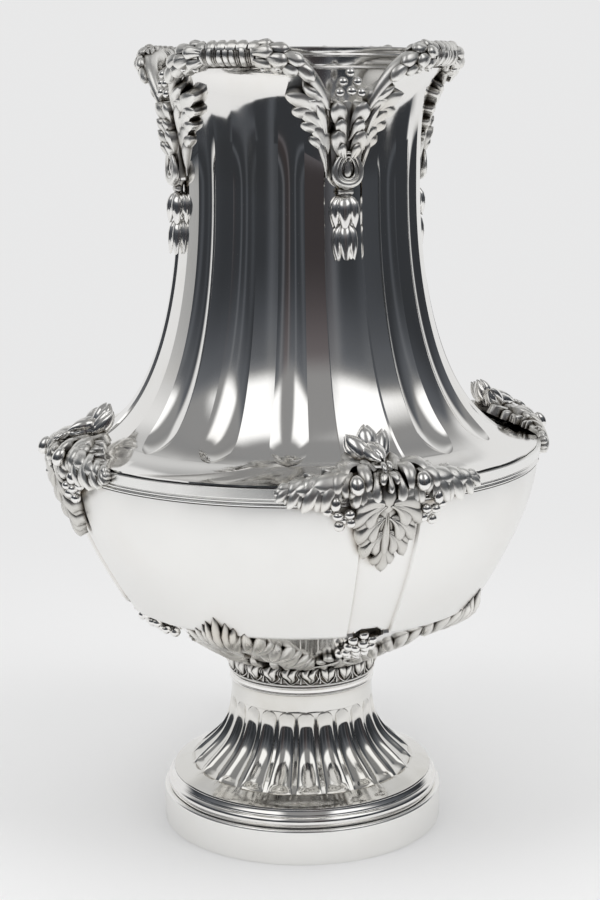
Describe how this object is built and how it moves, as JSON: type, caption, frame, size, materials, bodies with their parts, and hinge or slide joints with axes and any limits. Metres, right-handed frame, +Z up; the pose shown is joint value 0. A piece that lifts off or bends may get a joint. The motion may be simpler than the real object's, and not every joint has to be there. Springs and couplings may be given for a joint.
{
  "type": "flower vase",
  "caption": "Pear-shaped silver flower vase with a fluted, lobed neck, cast leaf mounts, a fluted foot and a lift-out liner.",
  "frame": {"origin": "centre of the foot's underside, on the vase's upright axis, where it stands", "axes": "+Z up along the vase's axis; -Y towards the front mount; +X towards the right mount"},
  "size_m": [0.2632, 0.2632, 0.3955],
  "materials": {
    "polished_silver": "polished silver sheet with soft reflections",
    "satin_silver": "silver with a fine satin surface",
    "cast_silver": "cast and chased silver, darker in the recesses"
  },
  "bodies": {
    "vase": {"foot_plinth": "satin_silver", "foot_moulding": "polished_silver", "foot_stem": "polished_silver", "foot_collar": "polished_silver", "leaf_tip_band": "cast_silver", "bowl": "satin_silver", "girdle_band": "polished_silver", "neck": "polished_silver", "mouth_border_front_right": "cast_silver", "mouth_border_back_right": "cast_silver", "mouth_border_back_left": "cast_silver", "mouth_border_front_left": "cast_silver", "pendant_front": "cast_silver", "pendant_right": "cast_silver", "pendant_back": "cast_silver", "pendant_left": "cast_silver", "shoulder_mount_front": "cast_silver", "shoulder_mount_right": "cast_silver", "shoulder_mount_back": "cast_silver", "shoulder_mount_left": "cast_silver", "base_berries_front": "cast_silver", "base_berries_right": "cast_silver", "base_berries_back": "cast_silver", "base_berries_left": "cast_silver", "base_sprig_front": "cast_silver", "base_sprig_right": "cast_silver", "base_sprig_back": "cast_silver", "base_sprig_left": "cast_silver", "base_leaf_front_right": "cast_silver", "base_leaf_back_right": "cast_silver", "base_leaf_back_left": "cast_silver", "base_leaf_front_left": "cast_silver", "liner_seat": "polished_silver"},
    "liner": {"liner": "polished_silver"}
  },
  "joints": [
    {"name": "liner_lift", "type": "slide", "parent": "vase", "child": "liner", "axis": [0, 0, 1], "range_m": [0, 0.17]}
  ]
}
